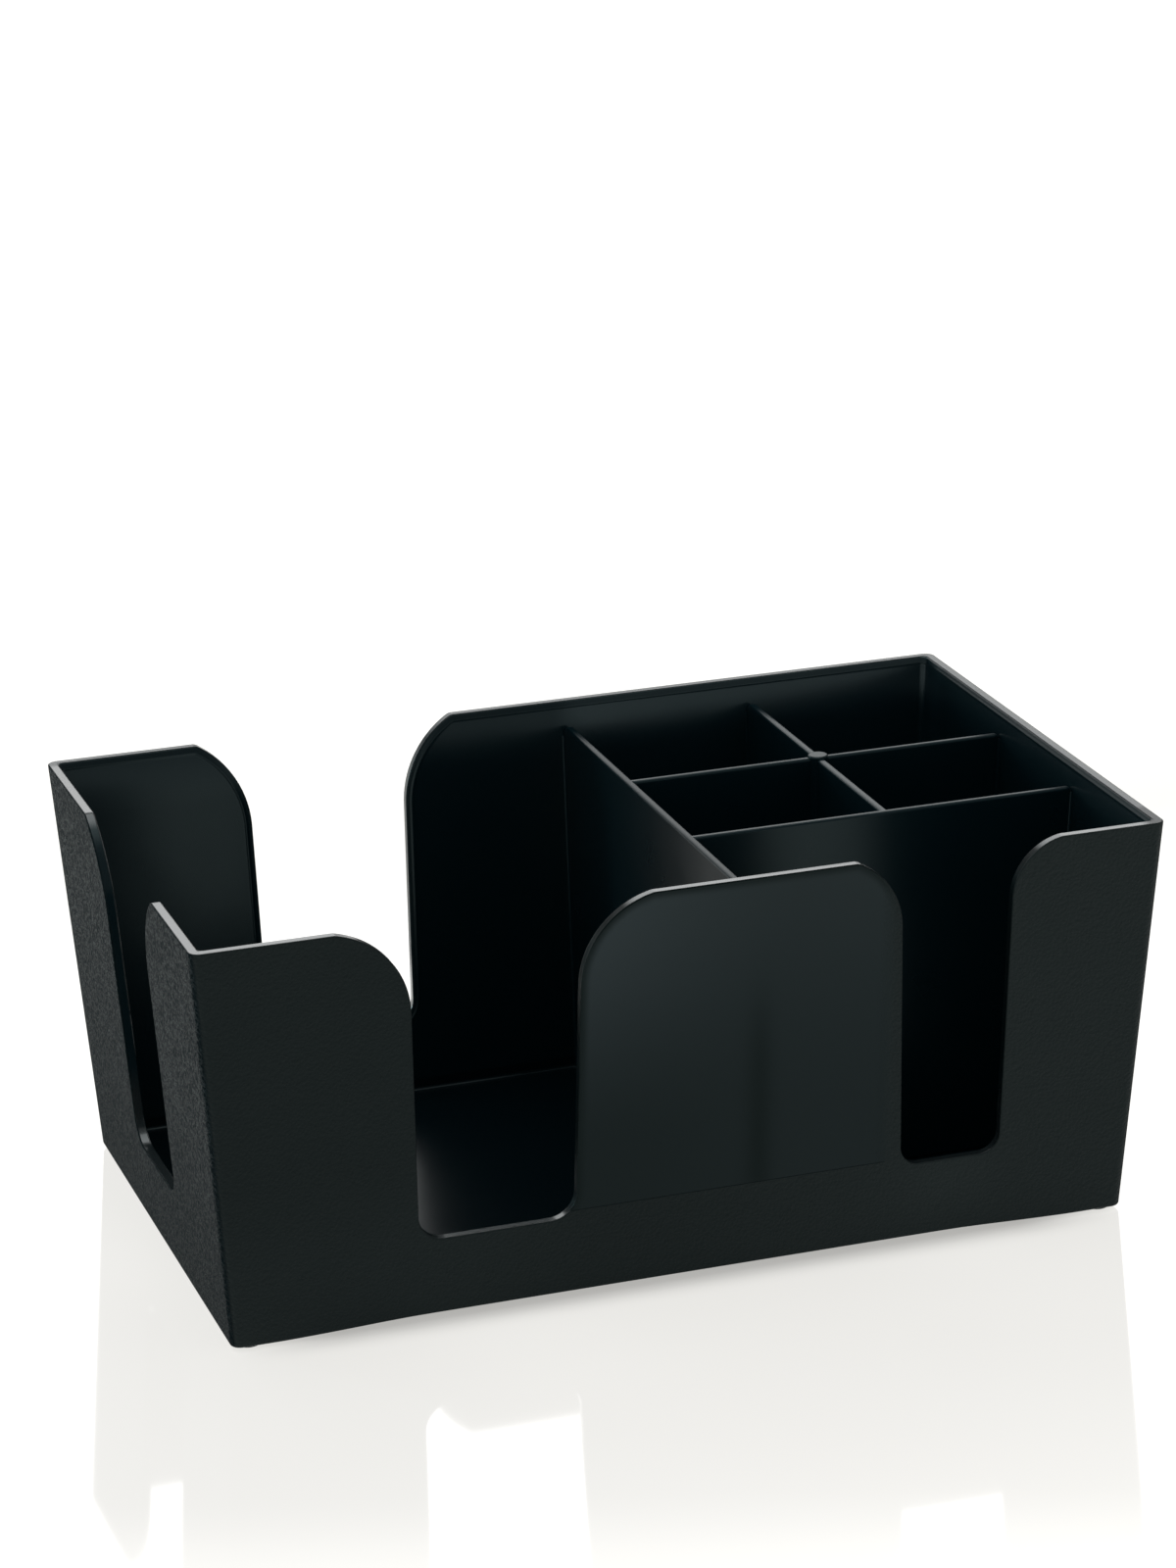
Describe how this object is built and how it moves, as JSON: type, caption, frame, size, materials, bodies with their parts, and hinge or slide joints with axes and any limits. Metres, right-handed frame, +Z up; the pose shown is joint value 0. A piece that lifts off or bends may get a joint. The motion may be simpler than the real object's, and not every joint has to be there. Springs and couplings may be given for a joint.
{
  "type": "condiment caddy",
  "caption": "Open-topped moulded counter caddy with a square napkin bay, a divided side for straws and packets, leaning walls and U-shaped finger slots.",
  "frame": {"origin": "middle of the footprint, on the plane the four feet stand on", "axes": "+X to the right along the long side, the napkin bay being at -X; +Y to the rear; +Z up"},
  "size_m": [0.241, 0.1476, 0.1028],
  "materials": {
    "grained_black": "fine leather grain outside, smooth inside",
    "smooth_black": "smooth semi-gloss"
  },
  "bodies": {
    "root": {"front_wall": "grained_black", "rear_wall": "grained_black", "left_wall": "grained_black", "right_wall": "grained_black", "floor_tray": "smooth_black", "bay_divider": "smooth_black", "front_divider": "smooth_black", "middle_divider_left": "smooth_black", "middle_divider_right": "smooth_black", "cross_divider_front": "smooth_black", "cross_divider_rear": "smooth_black", "crossing_post": "smooth_black", "foot_front_left": "smooth_black", "foot_front_right": "smooth_black", "foot_rear_left": "smooth_black", "foot_rear_right": "smooth_black"}
  },
  "joints": []
}
